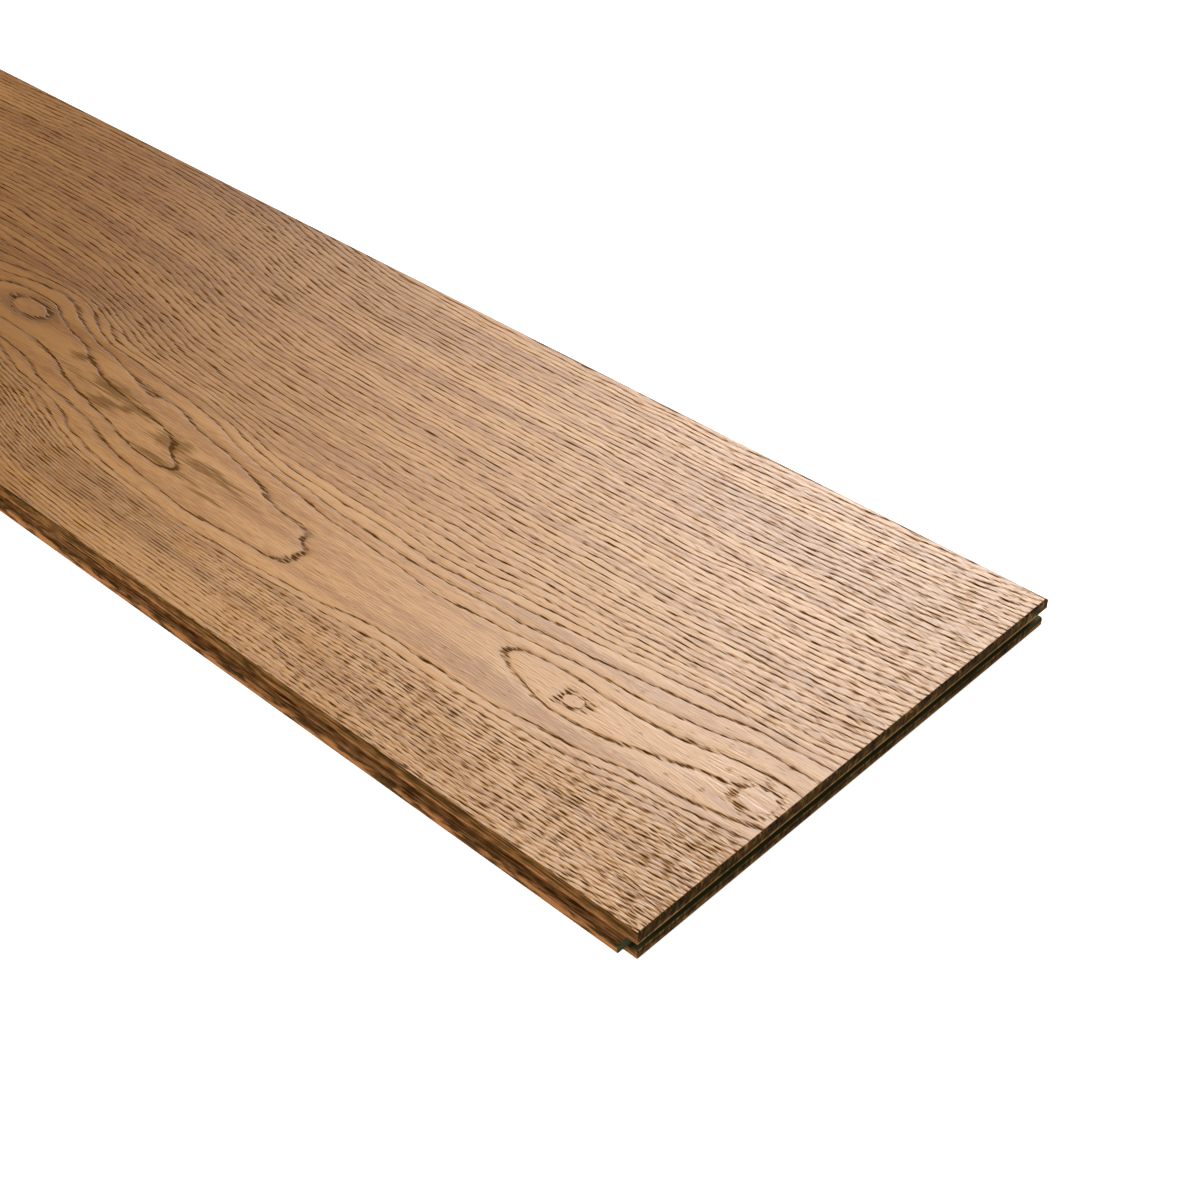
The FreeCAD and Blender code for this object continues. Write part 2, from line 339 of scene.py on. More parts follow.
@dataclass
class GrainMap:
    """The growth rings of the board as one smooth field over its face.

    The rings are circles about a heart that lies under the face, wandering along the board.
    The ring lines bend that plain pattern to the figure of this board.

    Attributes:
        lines: the ring lines that the field passes through.
        heart_depth: how far the heart lies under the face, on the far and on the near side.
        ring_spacing: the rings' spacing far from the heart, on the far and on the near side.
        reach: how far a ring line bends the plain pattern, along and across.
        slack: how loosely the field follows the lines.
        bent_length: how far from the grooved end the ring lines are felt, in mm.
        points_at: the places of all ring points, as rows of back and across in mm.
        pulls: how hard each ring point pulls the plain pattern.
    """

    lines: tuple[RingLine, ...] = RING_LINES
    heart_depth: tuple[float, float] = (40.0, 22.0)
    ring_spacing: tuple[float, float] = (3.0, 2.0)
    reach: tuple[float, float] = (34.0, 8.5)
    slack: float = 0.02
    bent_length: float = 760.0
    points_at: np.ndarray = field(init=False)
    pulls: np.ndarray = field(init=False)

    def __post_init__(self) -> None:
        """Works out how hard each ring point pulls the plain pattern."""
        points = [(p[0], p[1], line.ring) for line in self.lines for p in line.points]
        table = np.array(points, dtype=float)
        self.points_at = table[:, :2]
        missing = table[:, 2] - self.plain(table[:, 0], table[:, 1])
        gram = self._kernel(self.points_at[:, 0], self.points_at[:, 1])
        self.pulls = np.linalg.solve(gram + self.slack * np.eye(len(table)), missing)

    def heart_line(self, back: np.ndarray) -> np.ndarray:
        """Gives where the heart runs, across from the near edge, in mm.

        It steps outward by 34 mm about the third knot, turns out by 16 mm at the grooved end,
        and wanders by 9 mm beyond the part that the photo shows.

        Args:
            back: distances from the grooved end, in mm.

        Returns:
            The heart's distances from the near edge, in mm.
        """
        rise = 34.0 / (1.0 + np.exp(-(back - 455.0) / 38.0))
        turn = 16.0 * np.exp(-np.clip(back, 0.0, None) / 75.0)
        return 63.0 + rise + turn - 9.0 * np.sin(np.clip(back - 640.0, 0.0, None) / 250.0)

    def plain(self, back: np.ndarray, across: np.ndarray) -> np.ndarray:
        """Gives the ring number of the plain pattern at places in mm.

        Beyond 600 mm from the grooved end it swells and sinks by 1.2 rings along the board.

        Args:
            back: distances from the grooved end, in mm.
            across: distances from the near edge, in mm.

        Returns:
            The ring numbers.
        """
        off = across - self.heart_line(back)
        depth = np.where(off > 0.0, self.heart_depth[0], self.heart_depth[1])
        spacing = np.where(off > 0.0, self.ring_spacing[0], self.ring_spacing[1])
        swell = 1.2 * np.sin(np.clip(back - 600.0, 0.0, None) / 160.0)
        return (np.hypot(off, depth) - depth) / spacing + 0.4 + swell

    def _kernel(self, back: np.ndarray, across: np.ndarray) -> np.ndarray:
        """Gives how strongly each ring point is felt at each place.

        Args:
            back: distances from the grooved end, in mm.
            across: distances from the near edge, in mm.

        Returns:
            A row for each place and a column for each ring point, from 0 to 1.
        """
        along = (back[:, None] - self.points_at[None, :, 0]) / self.reach[0]
        aside = (across[:, None] - self.points_at[None, :, 1]) / self.reach[1]
        return np.exp(-0.5 * (along ** 2 + aside ** 2))

    def ring_number(self, back: np.ndarray, across: np.ndarray) -> np.ndarray:
        """Gives the ring number at places on the face.

        Args:
            back: distances from the grooved end, in mm.
            across: distances from the near edge, in mm.

        Returns:
            The ring numbers, whole where an early wood band starts.
        """
        field_value = self.plain(back, across)
        near = back < self.bent_length
        field_value[near] += self._kernel(back[near], across[near]) @ self.pulls
        return field_value

    def ring_width(self, back: np.ndarray, across: np.ndarray) -> np.ndarray:
        """Gives how wide the rings are at places on the face, in mm.

        A step along the board counts for five across it, so that a ring line that turns over
        the heart stays as fine as one that runs with the fibres.

        Args:
            back: distances from the grooved end, in mm.
            across: distances from the near edge, in mm.

        Returns:
            The widths, from 1.4 to 14 mm.
        """
        step, stride = 0.4, 1.0
        least, most = 1.4, 14.0
        aside = self.ring_number(back, across + step) - self.ring_number(back, across - step)
        along = self.ring_number(back + stride, across) - self.ring_number(back - stride, across)
        slope = np.hypot(aside / (2.0 * step), 5.0 * along / (2.0 * stride))
        return np.clip(1.0 / np.maximum(slope, 0.01), least, most)

    def fibre_line(self, back: np.ndarray, across: np.ndarray) -> np.ndarray:
        """Gives the line that a fibre keeps to, across in mm, where fibres part round a knot.

        Args:
            back: distances from the grooved end, in mm.
            across: distances from the near edge, in mm.

        Returns:
            The fibres' distances from the near edge, in mm.
        """
        line = across.copy()
        for knot in KNOTS:
            along = (back - knot.back) / (3.2 * knot.half_length)
            aside = (across - knot.across) / (2.4 * knot.half_width)
            pull = np.exp(-(along ** 2 + aside ** 2))
            line -= 0.5 * pull * (across - knot.across)
        return line

    def smoke(self, back: np.ndarray, across: np.ndarray) -> np.ndarray:
        """Gives how dark and smoky the heartwood is at places on the face, from 0 to 1.

        Args:
            back: distances from the grooved end, in mm.
            across: distances from the near edge, in mm.

        Returns:
            How smoky the wood is.
        """
        total = np.zeros_like(back)
        for patch in SMOKY_PATCHES:
            along = (back - patch.back) / patch.half_length
            aside = (across - patch.across) / patch.half_width
            total = np.maximum(total, patch.strength * np.exp(-(along ** 2 + aside ** 2)))
        return total

    def drift(self, back: np.ndarray, across: np.ndarray) -> np.ndarray:
        """Gives how far painted shade darkens the face at places on it, from 0 to 1.

        The painted shade swings slowly along the board, once in 760 mm from 220 mm on, and is a little
        darker about the third knot. It darkens and deepens the colour where less light and sheen fall.

        Args:
            back: distances from the grooved end, in mm.
            across: distances from the near edge, in mm.

        Returns:
            How far painted shade darkens the wood.
        """
        wave = 0.5 - 0.5 * np.cos(np.pi * np.clip(back - 220.0, 0.0, None) / 380.0)
        round_knot = np.exp(-((back - 530.0) / 110.0) ** 2 - ((across - 95.0) / 50.0) ** 2)
        return np.clip(wave + 0.2 * round_knot, 0.0, 1.0)


@dataclass(frozen=True)
class PorePattern:
    """One size of pore, and how far it opens over the face, as shares of a pore's room.

    Attributes:
        cell: the room that each pore has, along and across the fibres, in mm.
        start: how far these pores open near the grooved end's near corner.
        far_shift: how much further they open along the far edge.
        back_shift: how much further they open well away from the grooved end.
    """

    cell: tuple[float, float]
    start: float
    far_shift: float
    back_shift: float


@dataclass(frozen=True)
class FaceReadings:
    """What the nodes of the face read from its mesh.

    Attributes:
        tree: the node tree.
        fibre: places along and across the fibres, in metres.
        ring_width: how wide the rings are, in mm.
        smoke: how smoky the heartwood is.
        far_part: 0 over the near half, 1 along the far edge.
        back_part: 0 near the grooved end, 1 well away from it.
    """

    tree: Tree
    fibre: Socket
    ring_width: Socket
    smoke: Socket
    far_part: Socket
    back_part: Socket


@dataclass(frozen=True)
class BrushedFace:
    """Flat-sawn oak, wire brushed, stained honey brown and oiled.

    Brushing clears the soft early wood, so the pores read as dark dashes sunk between
    paler ridges. The oil leaves a satin sheen on the ridges, less in the smoky heart and none
    in the pores.
    """

    ridge: str = "#C18C4F"
    honey: str = "#A16C33"
    rim: str = "#8F5A20"
    pore: str = "#45290B"
    early: str = "#70491A"
    smoke: str = "#694920"
    knot_heart: str = "#B58C70"
    # Multiplied over the wood slowly along the board: painted shade, darker and more saturated where less
    # light falls.
    falloff_shade: str = "#CBBFA3"
    roughness: float = 0.37
    specular: float = 0.08
    oil: float = 0.9
    # The smallest pores are smaller than the largest by this share of their room.
    chance: float = 0.34
    # Short pores crowd the near corner, longer ones the far edge, and away from the grooved
    # end they run into lines some 30 mm long.
    patterns: tuple[PorePattern, ...] = (
        PorePattern(cell=(7.5, 0.72), start=-0.03, far_shift=-0.12, back_shift=-0.3),
        PorePattern(cell=(13.0, 1.1), start=-0.24, far_shift=0.15, back_shift=-0.1),
        PorePattern(cell=(30.0, 0.9), start=-0.36, far_shift=0.0, back_shift=0.32),
    )

    def _read(self, tree: Tree) -> FaceReadings:
        """Adds the nodes that read the mesh.

        Args:
            tree: the node tree.

        Returns:
            What the nodes read.
        """
        add = partial(add_node, tree)
        fibre = add("UVMap", uv_map="fibre")
        parts = add("SeparateXYZ", (fibre,)).node.outputs
        far_part = add("MapRange", {"Value": parts[1], "From Min": 90.0 * MM, "From Max": 130.0 * MM},
                       interpolation_type="SMOOTHSTEP")
        back_part = add("MapRange", {"Value": parts[0], "From Min": -150.0 * MM, "From Max": -400.0 * MM},
                        interpolation_type="SMOOTHSTEP")
        smoke = add("Attribute", output="Fac", attribute_name="smoke")
        width = add("Attribute", output="Fac", attribute_name="ring_width")
        return FaceReadings(tree, fibre, width, smoke, far_part, back_part)

    def _ring_line(self, read: FaceReadings) -> Socket:
        """Draws the lines where each ring's early wood starts.

        Args:
            read: what the nodes read from the mesh.

        Returns:
            1 on a line, 0 well away from it.
        """
        add = partial(add_node, read.tree)
        grain = add("UVMap", uv_map="grain")
        number = add("SeparateXYZ", (grain,), 1)
        part = add("Math", (number, 0.5, -0.5), operation="WRAP")
        off = add("Math", (part, read.ring_width), operation="MULTIPLY")

        # A line wanders by about a fifth of its ring every 45 mm, where a ring over 3 mm wide
        # counts as 3 mm, and its edge is ragged every 9 mm.
        slow = grained_noise(read.tree, read.fibre, (45.0, 14.0, 0.0), 1.0)
        quick = grained_noise(read.tree, read.fibre, (9.0, 1.6, 0.0), 1.0)
        swing = add("Math", (read.ring_width, 3.0), operation="MINIMUM")
        wander = add("MapRange", {"Value": slow, "To Min": -0.6, "To Max": 0.6})
        wandered = add("Math", (wander, swing, off), operation="MULTIPLY_ADD")
        ragged = add("MapRange", {"Value": quick, "To Min": -0.7, "To Max": 0.7})

        # Narrow rings have narrow bands: 0.7 mm at the edges of the board, 1.1 mm at its heart.
        reach = add("MapRange", {"Value": read.ring_width, "From Min": 1.6, "From Max": 6.0,
                                 "To Min": 0.42, "To Max": 0.62})
        scaled = add("Math", (wandered, reach), operation="DIVIDE")
        share = add("Math", (scaled, ragged), operation="ADD")
        spread = add("MapRange", {"Value": share, "From Min": -1.5, "From Max": 3.0})
        return add("ValToRGB", {"Fac": spread}, "Color",
                   stops=((0.1, 0.0), (0.26, 0.9), (0.36, 1.0), (0.5, 0.75), (0.66, 0.2), (0.9, 0.0)))

    def _knot_reach(self, tree: Tree, knot: Knot, ragged: Socket) -> Socket:
        """Measures how far a place is from a knot, where 1 is the knot's ragged rim.

        Args:
            tree: the node tree.
            knot: the knot.
            ragged: a noise that roughens the rim.

        Returns:
            The measure's socket.
        """
        scale = (1.0 / (knot.half_length * MM), 1.0 / (knot.half_width * MM), 0.0)
        middle = (FACE_END - knot.back * MM, FACE_EDGE + knot.across * MM)
        shift = (-middle[0] * scale[0], -middle[1] * scale[1], 0.0)
        place = add_node(tree, "TexCoord", output="Object")
        local = add_node(tree, "Mapping", {"Vector": place, "Location": shift, "Scale": scale})
        reach = add_node(tree, "VectorMath", (local,), "Value", operation="LENGTH")
        return add_node(tree, "Math", (ragged, knot.ragged, reach), operation="MULTIPLY_ADD")

    def _set_in_knots(self, read: FaceReadings, line: Socket) -> tuple[Socket, Socket, Socket]:
        """Draws each knot as a ring of short pores about a paler heart.

        Args:
            read: what the nodes read from the mesh.
            line: the ring lines.

        Returns:
            The ring lines with the knots set in, the knots' hearts, and the knots' rings alone.
        """
        add = partial(add_node, read.tree)
        ragged = grained_noise(read.tree, read.fibre, (5.0, 1.6, 0.0), 2.0)
        hearts = 0.0
        rings = 0.0
        for knot in KNOTS:
            dark = knot.darkness
            reach = self._knot_reach(read.tree, knot, ragged)
            rim = add("MapRange", {"Value": reach, "From Min": 0.4, "From Max": 2.4})
            ring = add("ValToRGB", {"Fac": rim}, "Color",
                       stops=((0.24, 0.0), (0.3, dark), (0.4, 0.9 * dark), (0.52, 0.6 * dark), (0.75, 0.0)))
            heart = add("MapRange", {"Value": reach, "From Min": 0.8, "From Max": 1.1, "To Min": 1.0,
                                     "To Max": 0.0}, interpolation_type="SMOOTHSTEP")
            outside = add("Math", (1.0, heart), operation="SUBTRACT")
            stopped = add("Math", (line, outside), operation="MULTIPLY")
            line = add("Math", (stopped, ring), operation="MAXIMUM")
            hearts = add("Math", (hearts, heart), operation="MAXIMUM")
            rings = add("Math", (rings, ring), operation="MAXIMUM")
        return line, hearts, rings

    def _opening(self, read: FaceReadings, line: Socket, rings: Socket) -> Socket:
        """Works out how far brushing opened the pores.

        Args:
            read: what the nodes read from the mesh.
            line: the ring lines, with the knots set in.
            rings: the knots' rings alone.

        Returns:
            How far pores open, as a share of their room, before each pattern's own shift.
        """
        add = partial(add_node, read.tree)
        hold = add("MapRange", {"Value": read.ring_width, "From Min": 2.0, "From Max": 6.0,
                                "To Min": 0.6, "To Max": 0.66})
        # Where rings are narrowest the pores scatter between the lines as well.
        scatter = add("MapRange", {"Value": read.ring_width, "From Min": 2.0, "From Max": 4.5,
                                   "To Min": 0.5, "To Max": 0.08})
        lessened = add("MapRange", {"Value": read.back_part, "To Min": 1.0, "To Max": 0.35})
        nearby = add("Math", (scatter, lessened), operation="MULTIPLY")
        far_back = add("Math", (read.far_part, read.back_part), operation="MULTIPLY")
        scattered = add("Math", (far_back, 0.18, nearby), operation="MULTIPLY_ADD")
        eased = add("Mix", {"Factor": scattered, 2: line, 3: 0.75}, data_type="FLOAT")
        along_line = add("Math", (eased, hold), operation="MULTIPLY")
        # Each ring line is broken up every 24 mm or so, where brushing opened it less.
        stretch = grained_noise(read.tree, read.fibre, (24.0, 3.0, 0.0), 2.0)
        broken = add("MapRange", {"Value": stretch, "From Min": 0.3, "From Max": 0.7,
                                  "To Min": -0.13, "To Max": 0.09})
        off_knot = add("Math", (1.0, rings), operation="SUBTRACT")
        brushed = add("Math", (broken, off_knot, along_line), operation="MULTIPLY_ADD")
        return add("Math", (read.smoke, 0.26, brushed), operation="MULTIPLY_ADD")

    def _dashes(self, read: FaceReadings, cell: tuple[float, float], open_to: Socket) -> Socket:
        """Scatters pores, each a slim dash along the fibres.

        Args:
            read: what the nodes read from the mesh.
            cell: the room that each pore has, along and across the fibres, in mm.
            open_to: how far the pores open, as a share of their room.

        Returns:
            How far inside a pore a place is: above 0 in it, below 0 beside it.
        """
        add = partial(add_node, read.tree)
        scale = (cell[0] * MM, cell[1] * MM, 1.0)
        place = add("Mapping", {"Vector": read.fibre, "Scale": scale}, vector_type="TEXTURE")
        cells = add("TexVoronoi", {"Vector": place, "Scale": 1.0, "Randomness": 0.8},
                    voronoi_dimensions="2D", feature="F1").node.outputs
        luck = add("SeparateColor", (cells["Color"],))
        shrunk = add("Math", (luck, -self.chance, open_to), operation="MULTIPLY_ADD")
        return add("Math", (shrunk, cells["Distance"]), operation="SUBTRACT")

    def _pores(self, read: FaceReadings, opening: Socket) -> Socket:
        """Lays the pores of every pattern.

        Args:
            read: what the nodes read from the mesh.
            opening: how far pores open, as a share of their room.

        Returns:
            How far inside a pore a place is: above 0 in it, below 0 beside it.
        """
        add = partial(add_node, read.tree)
        inside = -1.0
        for pattern in self.patterns:
            shift = add("Math", (read.far_part, pattern.far_shift, pattern.start),
                        operation="MULTIPLY_ADD")
            settled = add("Math", (read.back_part, pattern.back_shift, shift),
                          operation="MULTIPLY_ADD")
            open_to = add("Math", (opening, settled), operation="ADD")
            dashes = self._dashes(read, pattern.cell, open_to)
            inside = add("Math", (inside, dashes), operation="MAXIMUM")
        return inside

    def _haze(self, read: FaceReadings) -> Socket:
        """Turns the smoky patches into clusters of streaks 24 mm long and 1 mm wide.

        Args:
            read: what the nodes read from the mesh.

        Returns:
            How far the smoke's colour covers the wood, up to 0.7.
        """
        add = partial(add_node, read.tree)
        streaks = grained_noise(read.tree, read.fibre, (24.0, 1.0, 0.0), 3.0)
        streaky = add("Math", (streaks, 1.6, read.smoke), operation="MULTIPLY_ADD")
        return add("MapRange", {"Value": streaky, "From Min": 1.14, "From Max": 1.62, "To Max": 0.7},
                   interpolation_type="SMOOTHSTEP")

    def _clear_wood(self, read: FaceReadings, fine: Socket, hearts: Socket) -> Socket:
        """Colours the wood between the pores, with paler hearts in its knots.

        Args:
            read: what the nodes read from the mesh.
            fine: the noise of the fine fibres.
            hearts: the knots' hearts.

        Returns:
            The colour.
        """
        add = partial(add_node, read.tree)
        # Colour drifts in streaks some 200 mm long and 8 mm wide.
        streak = grained_noise(read.tree, read.fibre, (200.0, 8.0, 0.0), 4.0)
        tone = add("Math", (fine, 0.8, streak), operation="MULTIPLY_ADD")
        wood = add("ValToRGB", {"Fac": tone}, "Color", stops=((0.71, self.honey), (1.0, self.ridge)))
        heart_part = add("Math", (hearts, 0.22), operation="MULTIPLY")
        return add("Mix", {"Factor": heart_part, 6: wood, 7: linear(self.knot_heart)}, 2, data_type="RGBA")

    def material(self) -> bpy.types.Material:
        """Builds the node material of the face.

        Returns:
            The material.
        """
        material, tree = fresh_tree("brushed_stained_oak_face")
        add = partial(add_node, tree)
        read = self._read(tree)
        line, hearts, rings = self._set_in_knots(read, self._ring_line(read))
        inside = self._pores(read, self._opening(read, line, rings))
        haze = self._haze(read)
        # Fine fibres are thinner than 0.2 mm, drawn 0.6 mm wide so that they show.
        fine = grained_noise(tree, read.fibre, (9.0, 0.6, 0.0), 2.5)
        # A pore's dark bottom, the brown rim about it, and the hollow that both lie in
        pores, rims, hollow = (
            add("MapRange", {"Value": inside, "From Min": low, "From Max": high, "To Max": top},
                interpolation_type="SMOOTHSTEP")
            for low, high, top in ((-0.01, 0.09, 1.0), (-0.17, 0.02, 0.6), (-0.22, 0.1, 1.0))
        )
        # The early wood itself is browner, most of all away from the grooved end.
        browned = add("MapRange", {"Value": read.back_part, "To Min": 0.2, "To Max": 0.6})
        early = add("Math", (line, browned), operation="MULTIPLY")
        filled = add("MapRange", {"Value": read.back_part, "To Min": 0.95, "To Max": 0.75})
        stained = add("Math", (pores, filled), operation="MULTIPLY")
        colour = self._clear_wood(read, fine, hearts)
        for share, shade in ((early, self.early), (haze, self.smoke), (rims, self.rim), (stained, self.pore)):
            colour = add("Mix", {"Factor": share, 6: colour, 7: linear(shade)}, 2, data_type="RGBA")
        # Painted shade: the wood darkens slowly along the board and about the third knot, where less light
        # falls.
        drift = add("Attribute", output="Fac", attribute_name="drift")
        colour = add("Mix", {"Factor": drift, 6: colour, 7: linear(self.falloff_shade)}, 2,
                     data_type="RGBA", blend_type="MULTIPLY")

        # Relief in mm: pores lie 0.28 deep, early wood 0.1, and fibres stand up to 0.16 high.
        height = 0.5
        for relief, depth in ((hollow, -0.28), (line, -0.1), (fine, 0.16)):
            height = add("Math", (relief, depth, height), operation="MULTIPLY_ADD")
        bump = add("Bump", {"Strength": 1.0, "Distance": 1.0 * MM, "Height": height})
        dull = add("Math", (pores, haze), operation="MAXIMUM")
        satin = add("MapRange", {"Value": dull, "To Min": self.roughness, "To Max": 1.0})
        oiled = add("MapRange", {"Value": dull, "To Min": self.oil, "To Max": 0.0})
        close_tree(tree, {
            "Base Color": colour, "Roughness": satin, "Normal": bump, "Specular IOR Level": self.specular,
            "Coat Weight": oiled, "Coat IOR": WOOD_IOR, "Coat Roughness": self.roughness, "Coat Normal": bump,
        })
        return material


@dataclass(frozen=True)
class MilledEdge:
    """Oak side grain fresh from the cutter, wetted by the stain that ran over the edge.

    The stain stops in a wavy line on the tongue, so its nose stays reddish and blotched. Thin pale
    lines run along it, the one under the upper lip a painted highlight; the bottom rim is darkened
    as painted shade, and the cutter leaves long streaks.
    """

    olive: str = "#3E290F"
    golden: str = "#875B32"
    pale_wood_and_highlight: str = "#BE8A5C"
    nose: str = "#98653A"
    nose_deep: str = "#452E15"
    roughness: float = 0.7
    nose_y: float = 126.5 * MM
    # Tint by height in mm: the darker bottom rim is painted shade, and the pale line at 9.15 mm under the
    # upper lip is a painted highlight.
    tints: tuple[tuple[float, float], ...] = (
        (0.0, 0.35), (0.5, 0.4), (0.8, 0.6), (1.4, 0.5), (2.8, 0.52), (3.1, 0.8), (3.5, 0.42),
        (4.3, 0.5), (8.9, 0.46), (9.15, 1.0), (9.5, 0.6), (11.3, 0.53), (12.0, 0.47), (13.9, 0.46),
    )

    def _nose(self, tree: Tree, place: Socket, height: Socket) -> Socket:
        """Colours the bare nose of a tongue.

        Args:
            tree: the node tree.
            place: the object coordinates.
            height: the height above the floor, in metres.

        Returns:
            The colour.
        """
        add = partial(add_node, tree)
        # Dark stains some 11 mm long and 1.6 mm wide break the bare nose up.
        stain = grained_noise(tree, place, (11.0, 1.6, 1.6), 3.0)
        nose = add("ValToRGB", {"Fac": stain}, "Color", stops=((0.44, self.nose_deep), (0.56, self.nose)))
        # The nose darkens along its lower edge: painted shade under its rounded underside.
        foot = add("MapRange", {"Value": height, "From Min": 5.6 * MM, "From Max": 5.0 * MM, "To Max": 0.7},
                   interpolation_type="SMOOTHSTEP")
        return add("Mix", {"Factor": foot, 6: nose, 7: linear(self.nose_deep)}, 2, data_type="RGBA")

    def material(self) -> bpy.types.Material:
        """Builds the node material of the tongued and grooved long edges.

        Returns:
            The material.
        """
        material, tree = fresh_tree("milled_stained_oak_edge")
        add = partial(add_node, tree)
        place = add("TexCoord", output="Object")
        parts = list(add("SeparateXYZ", (place,)).node.outputs)
        streak = grained_noise(tree, place, (30.0, 0.8, 0.8), 4.0)
        mottle = grained_noise(tree, place, (7.0, 2.2, 2.2), 3.0)
        mixed = add("Math", (mottle, 0.55, streak), operation="MULTIPLY_ADD")
        # Open pores and cutter marks draw dark lines 12 mm long and 0.7 mm wide.
        scored = grained_noise(tree, place, (12.0, 0.7, 0.7), 1.0)
        cut = add("MapRange", {"Value": scored, "From Min": 0.52, "From Max": 0.66, "To Max": -0.3},
                  interpolation_type="SMOOTHSTEP")
        marked = add("Math", (mixed, cut), operation="ADD")
        tint = height_tint(tree, parts[2], self.tints)
        tinted = add("Math", (tint, 0.8, marked), operation="MULTIPLY_ADD")
        tone = add("Math", (tinted, 0.5), operation="MULTIPLY")
        wood = add("ValToRGB", {"Fac": tone}, "Color",
                   stops=((0.515, self.olive), (0.665, self.golden), (0.78, self.pale_wood_and_highlight)))

        # The stain's wavy line wanders about 0.6 mm either way every 22 mm.
        wave = grained_noise(tree, place, (22.0, 40.0, 40.0), 2.0)
        reach = add("Math", (parts[1],), operation="ABSOLUTE")
        waved = add("Math", (wave, 3.0 * MM, reach), operation="MULTIPLY_ADD")
        bare = add("MapRange", {"Value": waved, "From Min": self.nose_y + 1.3 * MM,
                                "From Max": self.nose_y + 1.7 * MM}, interpolation_type="SMOOTHSTEP")
        part = add("Math", (between(tree, parts, TONGUE), bare), operation="MULTIPLY")
        nose = self._nose(tree, place, parts[2])
        nosed = add("Mix", {"Factor": part, 6: wood, 7: nose}, 2, data_type="RGBA")
        # The end groove's walls and the tongue's cut end take one dark greenish colour: painted shade in the
        # recess.
        groove = between(tree, parts, END_GROOVE)
        colour = add("Mix", {"Factor": groove, 6: nosed, 7: linear(GROOVE_PAINTED_SHADE)}, 2, data_type="RGBA")
        bump = add("Bump", {"Strength": 0.8, "Distance": 0.25 * MM, "Height": mixed})
        close_tree(tree, {"Base Color": colour, "Roughness": self.roughness, "Normal": bump,
                          "Specular IOR Level": 0.05})
        return material


@dataclass(frozen=True)
class SawnEnd:
    """Oak end grain, cut across by a saw and a cutter, which drinks the stain and turns dark.

    It gives slanting strokes where rays and ring bands cross the thin lips. Thin pale lines along
    its edges are painted highlights, and the darker bottom rim and groove band are painted shade.
    """

    olive: str = "#271F0E"
    brown: str = "#61431F"
    pale_wood_and_highlight: str = "#B98C50"
    roughness: float = 0.8
    slant: float = -24.0
    # Tint by height in mm: the dark bottom rim and the dark band from 4.35 to 9.05 mm in the groove are
    # painted shade; the pale lines at 1.1 and 9.15 mm are painted highlights.
    tints: tuple[tuple[float, float], ...] = (
        (0.0, 0.05), (0.7, 0.1), (1.1, 0.9), (1.6, 0.62), (2.8, 0.6), (3.15, 0.1), (3.5, 0.62),
        (4.2, 0.6), (4.35, 0.3), (9.05, 0.3), (9.15, 1.0), (9.6, 0.95), (9.9, 0.45), (13.4, 0.5),
    )

    def material(self) -> bpy.types.Material:
        """Builds the node material of the short ends.

        Returns:
            The material.
        """
        material, tree = fresh_tree("sawn_stained_oak_end_grain")
        add = partial(add_node, tree)
        place = add("TexCoord", output="Object")
        parts = list(add("SeparateXYZ", (place,)).node.outputs)
        stroke = grained_noise(tree, place, (3.0, 0.8, 4.0), 3.0, self.slant)
        blotch = grained_noise(tree, place, (9.0, 7.0, 3.0), 2.0)
        mixed = add("Math", (blotch, 0.5, stroke), operation="MULTIPLY_ADD")
        tint = height_tint(tree, parts[2], self.tints)
        tinted = add("Math", (tint, 0.7, mixed), operation="MULTIPLY_ADD")
        tone = add("Math", (tinted, 0.5), operation="MULTIPLY")
        wood = add("ValToRGB", {"Fac": tone}, "Color",
                   stops=((0.48, self.olive), (0.6, self.brown), (0.72, self.pale_wood_and_highlight)))
        # The end groove's walls take one dark greenish colour: painted shade in the recess.
        groove = between(tree, parts, END_GROOVE)
        colour = add("Mix", {"Factor": groove, 6: wood, 7: linear(GROOVE_PAINTED_SHADE)}, 2, data_type="RGBA")
        bump = add("Bump", {"Strength": 0.7, "Distance": 0.3 * MM, "Height": stroke})
        close_tree(tree, {"Base Color": colour, "Roughness": self.roughness, "Normal": bump,
                          "Specular IOR Level": 0.1})
        return material


@dataclass(frozen=True)
class PlanedBack:
    """Oak planed flat and left raw under the board.

    It gives a paler, duller wood than the face, with long grain, open pores and the faint
    cross ripple of the planer's knives.
    """

    pale: str = "#CDA878"
    deep: str = "#A98453"
    pore: str = "#7A5930"
    roughness: float = 0.65

    def material(self) -> bpy.types.Material:
        """Builds the node material of the underside.

        Returns:
            The material.
        """
        material, tree = fresh_tree("planed_raw_oak_back")
        add = partial(add_node, tree)
        place = add("TexCoord", output="Object")
        streak = grained_noise(tree, place, (160.0, 5.0, 5.0), 4.0)
        pores = grained_noise(tree, place, (16.0, 1.1, 1.1), 2.0)
        wood = add("ValToRGB", {"Fac": streak}, "Color", stops=((0.36, self.deep), (0.64, self.pale)))
        opened = add("MapRange", {"Value": pores, "From Min": 0.56, "From Max": 0.7, "To Max": 0.8},
                     interpolation_type="SMOOTHSTEP")
        colour = add("Mix", {"Factor": opened, 6: wood, 7: linear(self.pore)}, 2, data_type="RGBA")
        # The planer's knives leave a ripple every 6 mm.
        ripple = add("TexWave", {"Vector": place, "Scale": 50.0, "Distortion": 1.0, "Detail": 1.0}, "Fac",
                     wave_type="BANDS", bands_direction="X")
        height = add("Math", (opened, -2.0, ripple), operation="MULTIPLY_ADD")
        bump = add("Bump", {"Strength": 0.5, "Distance": 0.06 * MM, "Height": height})
        close_tree(tree, {"Base Color": colour, "Roughness": self.roughness, "Normal": bump})
        return material


def pick(*objects: Piece) -> None:
    """Selects these objects alone, and makes the last one active.

    Args:
        objects: the objects, with the one to make active last.
    """
    bpy.ops.object.select_all(action="DESELECT")
    for item in objects:
        item.select_set(True)
    bpy.context.view_layer.objects.active = objects[-1]


